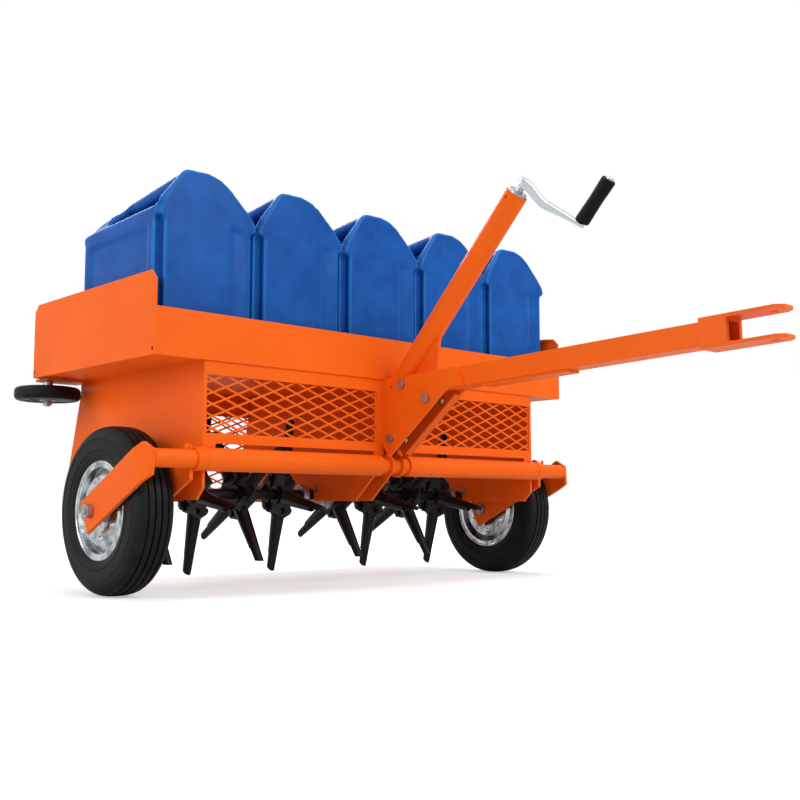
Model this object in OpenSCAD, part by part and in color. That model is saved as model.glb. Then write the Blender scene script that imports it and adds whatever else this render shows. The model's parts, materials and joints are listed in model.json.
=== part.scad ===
// Tow-behind core aerator. A steel tray of water weights stands on a box frame, two free
// tine reels turn inside the frame, and a pair of transport wheels hangs from a rockshaft
// that a screw jack swings to raise and lower the machine.
// X runs across the machine, -Y points to the hitch and Z is up, with Z = 0 on the ground.
// "Ahead" and "behind" are distances along Y from the wheel axle.

/* [Transport wheels] */
// Outside diameter of the tyre
tyre_d = 356; // [344:1:366]
// Section width of the tyre
tyre_w = 90; // [82:1:94]
// Rim diameter over its flanges
rim_d = 210; // [196:1:222]
// Rim width over its flanges
rim_w = 76; // [68:1:80]
// Height of the rim flange above the bead seat
flange_h = 11; // [8:0.5:14]
// Sheet thickness of the rim
rim_t = 3.5; // [2.5:0.25:5]
// Depth of each circumferential tread groove
groove_depth = 5; // [3:0.5:7]
// Width of each circumferential tread groove
groove_w = 4; // [3:0.5:6]
// Number of circumferential tread grooves
groove_count = 4; // [2:1:5]
// Depth of the rings in the tyre's side
ridge_depth = 2.2; // [1.5:0.1:3]
// Outside diameter of the wheel hub
wheel_hub_d = 46; // [38:1:58]
// Diameter of the axle bolt
axle_d = 16; // [14:0.5:20]
// Space between a side plate and the inner arm of the wheel's fork
fork_gap = 24.5; // [20:0.5:32]

/* [Rockshaft] */
// Outside diameter of the rockshaft tube
rock_d = 38.1; // [34:0.1:42]
// Wall of the rockshaft tube
rock_wall = 4; // [3:0.5:6]
// Outside diameter of the pivot sleeves
sleeve_d = 48.3; // [46:0.1:54]
// Height of the rockshaft axis
pivot_z = 282; // [276:1:288]
// How far the rockshaft axis lies ahead of the axle
pivot_ahead = 209; // [205:1:214]
// Width of the flat bar of the wheel arms
arm_w = 72; // [66:1:80]
// Thickness of the wheel arms
arm_t = 8; // [6:0.5:10]
// How far the arm runs past the axle bolt
arm_tail = 35; // [28:1:45]
// Space between the tyre's side and the arm
arm_gap = 3; // [2:0.5:6]
// Bend of the outer arm's front end towards the tube, in degrees
arm_bend = 12; // [8:1:16]
// Distance from the rockshaft's axis back to that bend
arm_bend_at = 30; // [26:1:36]

/* [Tray] */
// How far the tray reaches out past each side plate
tray_over = 119.5; // [110:0.5:134]
// How far the tray reaches ahead of the axle
tray_ahead = 210; // [207:1:225]
// How far the tray reaches behind the axle
tray_behind = 339; // [325:1:360]
// Height of the tray's underside
tray_z = 486; // [480:1:496]
// Sheet thickness of the tray
sheet_t = 3; // [2:0.5:4]
// Height of the front and rear rails
rail_h = 98; // [80:1:115]
// Height of the end panels
end_h = 172; // [150:1:195]
// Chamfer on the upper corners of the end panels
end_chamfer = 17; // [8:1:30]
// Width of the folded edge on the rails and end panels
hem_w = 13; // [9:1:18]
// Radius of the bend relief holes in the lower corners
relief_r = 4; // [3:0.5:6]

/* [Frame] */
// Width over the side plates
body_w = 1043; // [1030:1:1056]
// Thickness of the side plates and centre plates
plate_t = 6; // [5:0.5:8]
// How far the frame reaches ahead of the axle
body_ahead = 205; // [202:1:208]
// How far the top of the frame reaches behind the axle
body_behind = 336; // [326:1:339]
// How far the lower rear corner reaches behind the axle
foot_behind = 410; // [395:1:425]
// Height of the lower edge of the plates
foot_z = 200; // [192:1:204]
// Height where the rear edge starts to slope outwards
kink_z = 456; // [440:1:466]
// Chamfer on the front foot of the side plates
foot_chamfer = 24; // [12:1:32]
// Distance between the inner ends of the pivot sleeves
sleeve_gap = 84; // [76:1:92]
// How far behind the frame's front the chamfer of a centre plate ends
centre_chamfer = 96; // [80:1:110]
// Thickness of the front and rear guard frames
guard_t = 4; // [3:0.5:6]
// Height of the band above the mesh
band_h = 29; // [22:1:36]
// Height of the bar below the mesh
bar_h = 21; // [16:1:26]
// Height of the slot between that bar and the pivot sleeve
slot_h = 9; // [6:0.5:12]
// Width of the tabs that join the bar to the sleeve
tab_w = 24; // [16:1:34]

/* [Expanded mesh] */
// Long way of one diamond
mesh_long = 62; // [54:1:72]
// Short way of one diamond
mesh_short = 25; // [22:1:30]
// Width of a strand
strand_w = 4; // [3:0.25:5.5]
// Thickness of the mesh
mesh_t = 3; // [2:0.25:4]
// How far the mesh laps behind its frame
mesh_lap = 9; // [6:1:12]

/* [Tongue and hitch] */
// Side of the square tongue tube
tongue_w = 44.5; // [42:0.5:47]
// Wall of the tongue tube
tongue_wall = 4; // [3:0.5:5]
// Rise of the tongue towards the hitch, in degrees
tongue_tilt = 2.15; // [1.5:0.05:2.6]
// Length of the tongue tube
tongue_l = 895; // [860:1:940]
// Length of the clevis socket that stays closed
socket_l = 54; // [46:1:64]
// Length of the clevis ears past the closed socket
ear_l = 104; // [90:1:120]
// Wall of the clevis
clevis_wall = 6.4; // [5:0.2:8]
// Corner chamfer of the clevis ears
ear_chamfer = 14; // [8:1:18]
// Diameter of the hitch pin holes
pin_hole_d = 20.6; // [16:0.2:24]
// Distance from the hitch pin to the ends of the ears
pin_edge = 30; // [24:1:36]
// Thickness of the tongue's side plates
cheek_t = 6.4; // [5:0.2:8]
// Length of the side plates along the tongue
cheek_l = 286; // [260:1:310]
// How far below the tongue the reinforcing strap lies deep
strap_t = 6; // [4:0.5:8]
// Width of the reinforcing strap
strap_w = 36; // [28:1:42]
// Distance from the tongue's rear end to the front end of the strap
strap_end = 540; // [480:1:600]
// Diameter of the bracket bolts
bracket_bolt_d = 12; // [10:1:14]

/* [Screw jack] */
// Outside diameter of the jack tube
jack_d = 50.8; // [48:0.2:54]
// Wall of the jack tube
jack_wall = 4; // [3:0.5:6]
// Lean of the jack towards the hitch, in degrees
jack_lean = 43.7; // [42.5:0.1:45]
// How far the top of the jack tube lies ahead of the axle
jack_ahead = 603; // [595:1:611]
// Height of the top of the jack tube
jack_z = 856; // [848:1:864]
// Diameter of the jack screw
screw_d = 18; // [16:0.5:20]
// Swing of the rockshaft from raised to lowered, in degrees
lift_angle = 27; // [22:0.5:30]
// Length of the trunnion nut along the screw
nut_l = 34; // [28:1:40]
// Diameter of the nut's trunnions
trunnion_d = 12; // [10:0.5:14]
// Distance from the mid plane to the inner side of the lift lever plates
lever_in = 14; // [13:0.25:15]
// Thickness of the lift lever plates
lever_t = 6; // [4:0.25:6]
// Radius of the crank
crank_r = 150; // [140:1:170]
// Turn of the crank arm from straight ahead, in degrees
crank_turn = 42; // [20:1:70]
// Width of the crank's channel
crank_w = 24; // [20:1:28]
// Drop of the crank arm below its hub
crank_drop = 17; // [10:1:20]
// Diameter of the crank grip
grip_d = 33; // [28:1:36]
// Length of the crank grip
grip_l = 106; // [95:1:125]
// Diameter of the grip's spindle
spindle_d = 11; // [9:0.5:13]

/* [Tine reels] */
// How far the reel axis lies behind the axle
reel_behind = 64; // [56:1:72]
// Height of the reel axis
reel_z = 216; // [212:1:222]
// Radius to the tips of the tines
tip_r = 190; // [176:1:192]
// Diameter of the reel shafts
reel_d = 25.4; // [22:0.2:28]
// Distance from the first star of a reel to the plate on its left
star_edge = 27; // [26:0.5:32]
// Distance from star to star
star_pitch = 120; // [112:0.5:122]
// Turn of the reels at rest, in degrees
star_phase = 12; // [0:1:44]
// Half the width of a star plate
star_half = 50; // [47:1:54]
// Thickness of a star plate
star_t = 8; // [6:0.5:10]
// Outside diameter of a star's hub
star_hub_d = 44; // [38:1:48]
// Length of a star's hub
star_hub_l = 24; // [20:1:28]
// Diameter of a tine at its root
tine_root_d = 34; // [28:1:36]
// Diameter of a tine at its tip
tine_tip_d = 20; // [16:1:24]
// Wall of a tine
tine_wall = 3; // [2:0.25:4]
// Length of the open spoon at the tip of a tine
spoon_l = 46; // [36:1:60]
// Thickness of a tine's foot
foot_t = 6; // [5:0.5:8]
// Half the width of a tine's foot
foot_half = 46; // [42:1:48]
// Diameter of the tine bolts
tine_bolt_d = 8; // [6:0.5:10]
// Diameter of the reel bearing flanges
bearing_d = 74; // [72:1:78]
// Depth of the reel bearing housings
bearing_l = 12; // [10:0.5:14]

/* [Storage wheels] */
// Diameter of the storage wheels
storage_d = 150; // [140:1:156]
// Width of the storage wheels
storage_w = 31; // [26:1:36]
// Distance from a side plate to the middle of its storage wheel
storage_out = 84.5; // [80:0.5:100]
// Space between the storage bracket and the wheel
storage_drop = 14; // [10:1:20]
// Diameter of the storage wheel stud
stud_d = 12.7; // [10:0.1:15]

/* [Water jugs] */
// Space between neighbouring jugs
jug_gap = 5; // [2:0.5:10]
// Space between the end jugs and the end panels of the tray
jug_end = 18; // [15:0.5:24]
// Depth of a jug
jug_d = 329; // [310:1:345]
// How far the front of a jug lies ahead of the axle
jug_ahead = 173; // [165:1:190]
// Height of the shoulder under the hand grip
jug_shoulder = 310; // [290:1:325]
// Height of the shoulder on the other side
jug_shoulder_far = 318; // [300:1:330]
// Height of the peak
jug_peak = 403; // [385:1:415]
// How far the ridge falls towards the rear
ridge_fall = 34; // [10:1:45]
// Diameter of the moulded hand grip along the ridge
hand_grip_d = 36; // [30:1:42]
// Radius of the upright corners
jug_corner_r = 20; // [14:1:28]
// Radius of the flutes down the corners
flute_r = 10; // [7:0.5:12]
// Depth of the moulded panels
panel_depth = 2; // [1:0.25:4]
// Thickness of the wall in front of the hand hole
jug_wall = 15; // [12:1:20]
// Diameter of the filler cap
cap_d = 62; // [54:1:70]
// Height of the filler cap
cap_h = 24; // [20:1:30]

/* [Clearances] */
// Radial running clearance of shafts, pins and wheels
run_clear = 0.05; // [0.03:0.01:0.09]
// Clearance between fixed pieces that are welded or bolted together
seat_clear = 0.1; // [0.05:0.01:0.2]
// End clearance beside turning pieces
end_clear = 0.4; // [0.3:0.05:1]
// Radial clearance of bolts in their holes
bolt_clear = 0.3; // [0.2:0.05:0.5]

/* [Hidden] */
$fn = 48;
eps = 0.5;

orange = "#f26522";
black = "#1c1c1e";
zinc = "#b9bdc1";
blue = "#2b5cab";
grey = "#8c8f92";

// Places that several pieces share
axle_z = tyre_d / 2;
arm_in = tyre_w / 2 + arm_gap;
arm_out = arm_in + arm_t;
half_track = body_w / 2 + fork_gap + arm_out;
sleeve_end = half_track - arm_out - end_clear;
storage_x = body_w / 2 + storage_out;
tray_w = body_w + 2 * tray_over;
plate_in = body_w / 2 - plate_t;
guard_back = body_ahead - guard_t;
bar_low = pivot_z + sleeve_d / 2 + end_clear + slot_h;
mesh_low = bar_low + bar_h;
mesh_high = tray_z - band_h;
cheek_in = tongue_w / 2;
cheek_out = cheek_in + cheek_t;
centre_in = cheek_in;
centre_out = centre_in + plate_t;
star_count = floor((plate_in - centre_out - 2 * star_edge) / star_pitch) + 1;
bead_r = rim_d / 2 - flange_h;
rear_tilt = atan2(foot_behind - body_behind, kink_z - foot_z);
rear_slope = (kink_z - foot_z) / cos(rear_tilt);
storage_behind = foot_behind - storage_d / 2;
bracket_t = plate_t;
storage_top = tray_z - bracket_t - storage_drop;
tray_floor = tray_z + sheet_t;
jug_count = 5;
jug_pitch = (tray_w - 2 * sheet_t - 2 * jug_end + jug_gap) / jug_count;
jug_w = jug_pitch - jug_gap;

// The tongue's rear end stands square against the frame, just under the front of the tray
tongue_back = body_ahead + seat_clear + tongue_w / 2 * sin(tongue_tilt);
tongue_z = tray_z - end_clear - tongue_w / 2 / cos(tongue_tilt)
    - (tray_ahead - tongue_back + tongue_w * sin(tongue_tilt)) * tan(tongue_tilt);

// Bracket bolts, ahead of the frame and above the tongue's axis: one through the tongue, two below it
bracket_bolts = [[69, 6], [149, -33], [30, -119]];

// The front end of the ears and the lower rear corners set the length of the machine
ear_ahead = tongue_back + (tongue_l + ear_l) * cos(tongue_tilt)
    + (tongue_w / 2 + clevis_wall) * sin(tongue_tilt);
axle_y = (ear_ahead - foot_behind) / 2;

// The jack's axis, and the place on it nearest the rockshaft
jack_fwd = [-sin(jack_lean), cos(jack_lean)];
to_pivot = [-pivot_ahead + jack_ahead, pivot_z - jack_z];
screw_reach = -(to_pivot * jack_fwd);
lever_reach = abs(to_pivot[0] * jack_fwd[1] - to_pivot[1] * jack_fwd[0]);
lever_r = lever_reach / cos(lift_angle / 2);
nut_swing = lever_reach * tan(lift_angle / 2);
nut_rest = screw_reach + nut_swing;
lever_rest = jack_lean - lift_angle / 2;

// Puts the origin under the middle of the machine
module in_frame() translate([0, axle_y, 0]) children();

// Left hand pieces are mirrored from right hand ones
module on_left() mirror([1, 0, 0]) children();
module on_both() {
    children();
    on_left() children();
}

// Flat plate in the Y-Z plane, from x to x + t
module plate_yz(x, t) translate([x, 0, 0]) rotate([90, 0, 90]) linear_extrude(t) children();

// Flat plate in the X-Z plane, from y to y + t
module plate_xz(y, t) translate([0, y + t, 0]) rotate([90, 0, 0]) linear_extrude(t) children();

// Round bar along X
module rod_x(d, x0, x1) translate([x0, 0, 0]) rotate([0, 90, 0]) cylinder(d = d, h = x1 - x0);

// Hexagon bar along X, size across flats
module hex_x(af, x0, x1)
    translate([x0, 0, 0]) rotate([0, 90, 0]) cylinder(d = af / cos(30), h = x1 - x0, $fn = 6);

// Bolt along X: head from x0 outwards to the low side, nut from x1 to the high side
module bolt_x(d, x0, x1) {
    head_h = 0.65 * d;
    nut_h = 0.85 * d;
    tail = 0.3 * d;
    hex_x(1.6 * d, x0 - head_h, x0);
    rod_x(d, x0 - head_h / 2, x1 + nut_h + tail);
    hex_x(1.6 * d, x1, x1 + nut_h);
}

module at_pivot() translate([0, -pivot_ahead, pivot_z]) children();
module at_axle() translate([0, 0, axle_z]) children();
module at_reel() translate([0, reel_behind, reel_z]) children();
module on_tongue() translate([0, -tongue_back, tongue_z]) rotate([-tongue_tilt, 0, 0]) children();
module on_jack() translate([0, -jack_ahead, jack_z]) rotate([jack_lean, 0, 0]) children();
module on_rear_slope() translate([0, body_behind, kink_z]) rotate([rear_tilt, 0, 0]) children();

// Tray

module end_outline() {
    high = tray_z + end_h;
    polygon([
        [-tray_ahead, tray_z], [-tray_ahead, high - end_chamfer], [-tray_ahead + end_chamfer, high],
        [tray_behind - end_chamfer, high], [tray_behind, high - end_chamfer], [tray_behind, tray_z]
    ]);
}

// End panel with its folded top and front edges and the relief holes of the lower corners
module tray_end() {
    x = tray_w / 2 - sheet_t;
    high = tray_z + end_h;
    relief_z = tray_z + 3 * relief_r;
    difference() {
        union() {
            plate_yz(x, sheet_t) end_outline();
            translate([x - hem_w, -tray_ahead + end_chamfer, high - sheet_t])
                cube([hem_w + eps, tray_ahead + tray_behind - 2 * end_chamfer, sheet_t]);
            for (y = [-tray_ahead, tray_behind - sheet_t])
                translate([x - hem_w, y, tray_z + rail_h - eps])
                    cube([hem_w + eps, sheet_t, end_h - rail_h - end_chamfer + eps]);
        }
        for (y = [-tray_ahead + 2 * relief_r, tray_behind - 2 * relief_r])
            translate([0, y, relief_z]) rod_x(2 * relief_r, x - eps, x + sheet_t + eps);
    }
}

module tray_pan() color(orange) in_frame() {
    low = [-tray_w / 2, -tray_ahead, tray_z];
    depth = tray_ahead + tray_behind;
    translate(low) cube([tray_w, depth, sheet_t]);
    translate(low) cube([tray_w, sheet_t, rail_h]);
    translate([low[0], tray_behind - sheet_t, tray_z]) cube([tray_w, sheet_t, rail_h]);
    for (y = [-tray_ahead, tray_behind - hem_w])
        translate([low[0], y, tray_z + rail_h - sheet_t]) cube([tray_w, hem_w, sheet_t]);
    on_both() tray_end();
}

// Frame plates

// Outline of a frame plate, with its front edge, front foot and the inset of its rear edge given
module frame_outline(front, foot, inset) {
    back = body_behind - inset;
    polygon(concat([[front, tray_z], [back, tray_z], [back, kink_z], [foot_behind - inset, foot_z]], foot));
}

// Holes for the pivot sleeve, the reel shaft and the bearing bolts
module frame_holes() {
    translate([-pivot_ahead, pivot_z]) circle(d = sleeve_d + 2 * seat_clear);
    translate([reel_behind, reel_z]) {
        circle(d = reel_d + 6);
        translate([-reel_d / 2 - 3, -2 * (reel_z - foot_z)])
            square([reel_d + 6, 2 * (reel_z - foot_z)]);
        bearing_bolt_places() circle(d = tine_bolt_d + 2 * bolt_clear);
    }
}

// Two bolts hold each bearing flange, above its middle line
module bearing_bolt_places()
    for (a = [25, 155])
        rotate(a) translate([bearing_d * 0.41, 0]) children();

module side_plate() plate_yz(plate_in, plate_t) difference() {
    front = -body_ahead;
    frame_outline(front, [[front + foot_chamfer, foot_z], [front, foot_z + foot_chamfer]], 0);
    frame_holes();
}

module centre_plate() plate_yz(centre_in, plate_t) difference() {
    front = -guard_back + seat_clear;
    inset = (guard_t + mesh_t + seat_clear) / cos(rear_tilt);
    frame_outline(front, [[-body_ahead + centre_chamfer, foot_z], [front, pivot_z]], inset);
    frame_holes();
}

module side_plate_left() color(orange) in_frame() on_left() side_plate();
module side_plate_right() color(orange) in_frame() side_plate();
module centre_plate_left() color(orange) in_frame() on_left() centre_plate();
module centre_plate_right() color(orange) in_frame() centre_plate();

// Guards

// Expanded metal: a sheet with staggered rows of diamond openings
module expanded_mesh(w, h) {
    slope = mesh_long * mesh_short / norm([mesh_long, mesh_short]) / 2;
    open = 1 - strand_w / 2 / slope;
    cols = ceil(w / mesh_long / 2) + 1;
    rows = ceil(h / mesh_short / 2) + 1;
    difference() {
        square([w, h], center = true);
        intersection() {
            square([w - 2 * strand_w, h - 2 * strand_w], center = true);
            for (i = [-2 * cols : 2 * cols], j = [-2 * rows : 2 * rows])
                if ((i + j) % 2 == 0 && abs(i) * mesh_long < w + mesh_long
                        && abs(j) * mesh_short < h + mesh_short)
                    translate([i * mesh_long / 2, j * mesh_short / 2]) diamond(open);
        }
    }
}

module diamond(open) {
    a = mesh_long / 2 * open;
    b = mesh_short / 2 * open;
    polygon([[-a, 0], [0, -b], [a, 0], [0, b]]);
}

// Slot with round upper corners between two tabs
module bar_slot(x0, x1) {
    r = slot_h / 2;
    low = bar_low - slot_h - eps;
    translate([x0, low]) square([x1 - x0, slot_h + eps - r]);
    translate([x0 + r, low]) square([x1 - x0 - 2 * r, slot_h + eps]);
    for (x = [x0 + r, x1 - r])
        translate([x, bar_low - r]) circle(r = r);
}

// Front guard: a band under the tray, two mesh windows, a bar with tabs to the sleeves and
// a middle window behind the tongue plates that the jack screw and lift lever pass through
module front_frame() color(orange) in_frame() plate_xz(-body_ahead, guard_t) {
    half = plate_in - seat_clear;
    stile = cheek_out + tab_w;
    low = bar_low - slot_h;
    difference() {
        translate([-half, low]) square([2 * half, tray_z - low]);
        translate([-cheek_in, low - eps]) square([2 * cheek_in, mesh_high - low + eps]);
        for (side = [0, 1]) mirror([side, 0]) {
            translate([stile, mesh_low]) square([half - stile - mesh_lap, mesh_high - mesh_low]);
            bar_slot(stile, half - tab_w);
        }
    }
}

module front_mesh() {
    half = plate_in - seat_clear;
    stile = cheek_out + tab_w - mesh_lap;
    w = half - stile;
    h = mesh_high - mesh_low + 2 * mesh_lap;
    plate_xz(-guard_back, mesh_t)
        translate([stile + w / 2, (mesh_low + mesh_high) / 2]) expanded_mesh(w, h);
}

module front_mesh_left() color(orange) in_frame() on_left() front_mesh();
module front_mesh_right() color(orange) in_frame() front_mesh();

// Rear guard: a cross bar under the tray and a sloping frame round the rear mesh
module rear_frame() color(orange) in_frame() {
    half = plate_in - seat_clear;
    low = kink_z - guard_t;
    translate([-half, body_behind - guard_t, low]) cube([2 * half, guard_t, tray_z - low]);
    on_rear_slope() plate_xz(-guard_t, guard_t) difference() {
        translate([-half, -rear_slope]) square([2 * half, rear_slope]);
        translate([-half + tab_w, -rear_slope + band_h])
            square([2 * half - 2 * tab_w, rear_slope - 2 * band_h]);
    }
}

module rear_mesh() color(orange) in_frame() on_rear_slope() plate_xz(-guard_t - mesh_t, mesh_t) {
    w = 2 * (plate_in - seat_clear - tab_w + mesh_lap);
    h = rear_slope - 2 * band_h + 2 * mesh_lap;
    translate([0, -rear_slope / 2]) expanded_mesh(w, h);
}

// Rockshaft, its sleeves and the wheel arms

// Sleeve that runs out through the side plate to the fork's inner arm
module pivot_sleeve() at_pivot() difference() {
    rod_x(sleeve_d, sleeve_gap / 2, sleeve_end);
    rod_x(rock_d + 2 * run_clear, sleeve_gap / 2 - eps, sleeve_end + eps);
}

module pivot_sleeve_left() color(orange) in_frame() on_left() pivot_sleeve();
module pivot_sleeve_right() color(orange) in_frame() pivot_sleeve();

// Tube whose ends are cut to the bent faces of the outer arms
module rockshaft_tube() color(orange) in_frame() difference() {
    end = half_track + arm_in;
    at_pivot() rod_x(rock_d, -end, end);
    at_pivot() rod_x(rock_d - 2 * rock_wall, -end - eps, end + eps);
    on_both() across_arm() polygon(concat(
        arm_face(arm_t + seat_clear), [[end + arm_w, arm_reach + arm_w], [end + arm_w, -arm_w]]
    ));
}

// Line of a wheel arm, from the axle to the rockshaft
arm_reach = norm([pivot_ahead, pivot_z - axle_z]);
arm_angle = atan2(pivot_z - axle_z, -pivot_ahead);

// Flat bar from the axle to the rockshaft, with a square-cut nose past the tube
module arm_outline() {
    axle = [0, axle_z];
    along = [cos(arm_angle), sin(arm_angle)];
    up = [along[1], -along[0]];
    nose = -pivot_ahead - 0.42 * rock_d;
    polygon([
        axle - arm_tail * along - arm_w / 2 * up,
        axle - arm_tail * along + arm_w / 2 * up,
        axle + arm_reach * along + arm_w / 2 * up,
        [nose, pivot_z + 0.4 * rock_d],
        [nose, pivot_z - 0.9 * rock_d]
    ]);
}

// Line of the outer arm's face at depth t below its outer side, as [x, distance along the arm]
function arm_face(t) =
    let (x = half_track + arm_out - t, bend = arm_reach - arm_bend_at, far = arm_bend_at + 2 * rock_d)
    [
        [x, -arm_w], [x, bend - t * tan(arm_bend / 2)],
        [x + t - far * sin(arm_bend) - t * cos(arm_bend), bend + far * cos(arm_bend) - t * sin(arm_bend)]
    ];

// Prism across the arm's width over a section drawn as [x, distance along the arm]
module across_arm() at_axle() rotate([arm_angle, 0, 0]) linear_extrude(2 * arm_w, center = true) children();

// The two arms of one wheel's fork: the inner one is flat and coped to the back of the tube, the
// outer one is bent in front of the tyre and closes the tube's end
module wheel_arms() {
    plate_yz(half_track - arm_out, arm_t) difference() {
        arm_outline();
        axle_hole();
        translate([-pivot_ahead, pivot_z]) circle(d = rock_d + 2 * seat_clear);
        translate([-pivot_ahead - arm_w, pivot_z - arm_w]) square([arm_w, 2 * arm_w]);
    }
    intersection() {
        plate_yz(half_track, 2 * arm_out) difference() {
            arm_outline();
            axle_hole();
        }
        across_arm() polygon(concat(arm_face(0), [for (i = [2 : -1 : 0]) arm_face(arm_t)[i]]));
    }
}

module axle_hole() translate([0, axle_z]) circle(d = axle_d + 2 * bolt_clear);

module wheel_arms_left() color(orange) in_frame() on_left() wheel_arms();
module wheel_arms_right() color(orange) in_frame() wheel_arms();

module axle_bolts() color(zinc) in_frame() on_both() at_axle() {
    bolt_x(axle_d, half_track - arm_out, half_track + arm_out);
}

// Grease nipples on top of the tube, between the arms of each fork
module grease_nipples() color(orange) in_frame() on_both() at_pivot() {
    translate([half_track - arm_in + 9, 0, rock_d / 2 + seat_clear]) {
        cylinder(d = 7, h = 8);
        translate([0, 0, 8]) sphere(d = 6);
    }
}

// Two plates on the rockshaft with slots for the nut's trunnions
module lift_lever() color(orange) in_frame() on_both() at_pivot() rotate([lever_rest, 0, 0])
    plate_yz(lever_in, lever_t) difference() {
        union() {
            circle(d = rock_d + 16);
            translate([0, -trunnion_d]) square([lever_r, 2 * trunnion_d]);
            translate([lever_r, 0]) circle(r = 1.3 * trunnion_d);
        }
        circle(d = rock_d + 2 * seat_clear);
        slot = lever_r - lever_reach + 2 * end_clear;
        w = trunnion_d + 2 * end_clear;
        translate([lever_r - slot, -w / 2]) square([slot, w]);
        for (y = [lever_r - slot, lever_r])
            translate([y, 0]) circle(d = w);
    }

// Transport wheels

// Points of the tyre's outer section: a squarish oval from the bead to the tread
function tyre_section(n = 36, power = 3.3) =
    let (mid = (tyre_d / 2 + bead_r) / 2, high = (tyre_d / 2 - bead_r) / 2)
    [for (i = [0 : n - 1])
        let (a = 360 * i / n, c = cos(a), s = sin(a))
        [mid + high * sign(c) * pow(abs(c), 2 / power), tyre_w / 2 * sign(s) * pow(abs(s), 2 / power)]];

module tyre() translate([half_track, 0, axle_z]) rotate([0, 90, 0]) rotate_extrude() difference() {
    polygon(tyre_section());
    seat = rim_w / 2 - rim_t;
    for (side = [0, 1]) mirror([0, side])
        translate([0, seat]) square([rim_d / 2 + seat_clear, tyre_w]);
    translate([0, -tyre_w]) square([bead_r + seat_clear, 2 * tyre_w]);
    for (side = [-1, 1], share = [0.36, 0.66])
        translate([bead_r + share * (tyre_d / 2 - bead_r), side * (tyre_w / 2 + 0.4)])
            circle(r = ridge_depth, $fn = 16);
    tread = 0.66 * tyre_w;
    for (i = [0 : groove_count - 1])
        translate([tyre_d / 2 - groove_depth, tread * ((i + 0.5) / groove_count - 0.5) - groove_w / 2])
            square([2 * groove_depth, groove_w]);
}

// Half of the pressed rim: flange, bead seat and dished disc
module rim_half() {
    edge = rim_w / 2;
    well = bead_r - rim_t;
    translate([well, 0]) square([rim_t, edge]);
    translate([well, edge - rim_t]) square([rim_t + flange_h, rim_t]);
    hub = wheel_hub_d / 2 + seat_clear;
    step = hub + 0.3 * (well - hub);
    dish = edge - rim_t;
    polygon([
        [hub, dish - 2 * rim_t], [step, dish - rim_t], [well - 6 * rim_t, dish - rim_t],
        [well + rim_t / 2, edge / 3],
        [well + rim_t / 2, edge / 3 + 2 * rim_t], [well - 5 * rim_t, dish], [step, dish], [hub, dish - rim_t]
    ]);
}

// Rim with stamped lugs round its disc
module rim() translate([half_track, 0, axle_z]) rotate([0, 90, 0]) {
    lug_r = (wheel_hub_d / 2 + bead_r) / 2;
    rotate_extrude() for (side = [0, 1]) mirror([0, side]) rim_half();
    for (a = [0 : 60 : 300]) rotate(a) for (side = [0, 1]) mirror([0, 0, side])
        translate([lug_r, 0, rim_w / 2 - 1.5 * rim_t]) cylinder(d1 = 16, d2 = 9, h = 1.6 * rim_t);
}

module wheel_hub() translate([half_track, 0, axle_z]) difference() {
    half = arm_in - end_clear;
    rod_x(wheel_hub_d, -half, half);
    rod_x(axle_d + 2 * run_clear, -half - eps, half + eps);
}

module tyre_left() color(black) in_frame() on_left() tyre();
module tyre_right() color(black) in_frame() tyre();
module rim_left() color(zinc) in_frame() on_left() rim();
module rim_right() color(zinc) in_frame() rim();
module wheel_hub_left() color(zinc) in_frame() on_left() wheel_hub();
module wheel_hub_right() color(zinc) in_frame() wheel_hub();

// Tongue, hitch and bracket

// Side plate of the bracket: laps the tongue, stands against the frame and runs down to the sleeves
module cheek_outline() {
    rear = -body_ahead - seat_clear;
    tip = rear - cheek_l;
    rise = tan(tongue_tilt);
    top = tongue_z + tongue_w / 2;
    low = tongue_z - tongue_w / 2;
    toe = pivot_z + sleeve_d / 2 + end_clear;
    throat = rear - 0.82 * cheek_l;
    difference() {
        polygon([
            [rear, top], [tip + 12, top + rise * (cheek_l - 12)], [tip - 10, low + rise * (cheek_l + 10)],
            [throat - 14, low + rise * (0.82 * cheek_l + 14)], [throat, low + rise * 0.82 * cheek_l - 8],
            [-pivot_ahead - 0.6 * sleeve_d, toe - 6], [-pivot_ahead - 0.3 * sleeve_d, toe], [rear, toe + 30]
        ]);
        translate([-pivot_ahead, pivot_z]) circle(d = sleeve_d + 2 * end_clear);
        bracket_bolt_places() circle(d = bracket_bolt_d + 2 * bolt_clear);
        translate([rear - 33, tongue_z + rise * 33]) circle(d = 8);
    }
}

// Places of the bracket bolts along Y and Z
module bracket_bolt_places()
    for (p = bracket_bolts)
        translate([-body_ahead - p[0], tongue_z + p[1]]) children();

module tongue_plate_left() color(orange) in_frame() plate_yz(-cheek_out, cheek_t) cheek_outline();
module tongue_plate_right() color(orange) in_frame() plate_yz(cheek_in, cheek_t) cheek_outline();

// Square tube with its strap below; the jack screw and the bracket bolt pass through it
module tongue_tube() color(orange) in_frame() difference() {
    on_tongue() {
        half = tongue_w / 2;
        bore = half - tongue_wall;
        difference() {
            translate([-half, -tongue_l, -half]) cube([tongue_w, tongue_l, tongue_w]);
            translate([-bore, -tongue_l - eps, -bore]) cube([2 * bore, tongue_l + 2 * eps, 2 * bore]);
        }
        translate([-strap_w / 2, -strap_end, -half - strap_t])
            cube([strap_w, strap_end - cheek_l - 20, strap_t]);
    }
    on_jack() translate([0, 0, -screw_reach]) cylinder(d = screw_d + 8, h = screw_reach);
    translate([0, -body_ahead - bracket_bolts[0][0], tongue_z + bracket_bolts[0][1]])
        rod_x(bracket_bolt_d + 2 * bolt_clear, -tongue_w, tongue_w);
}

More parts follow.
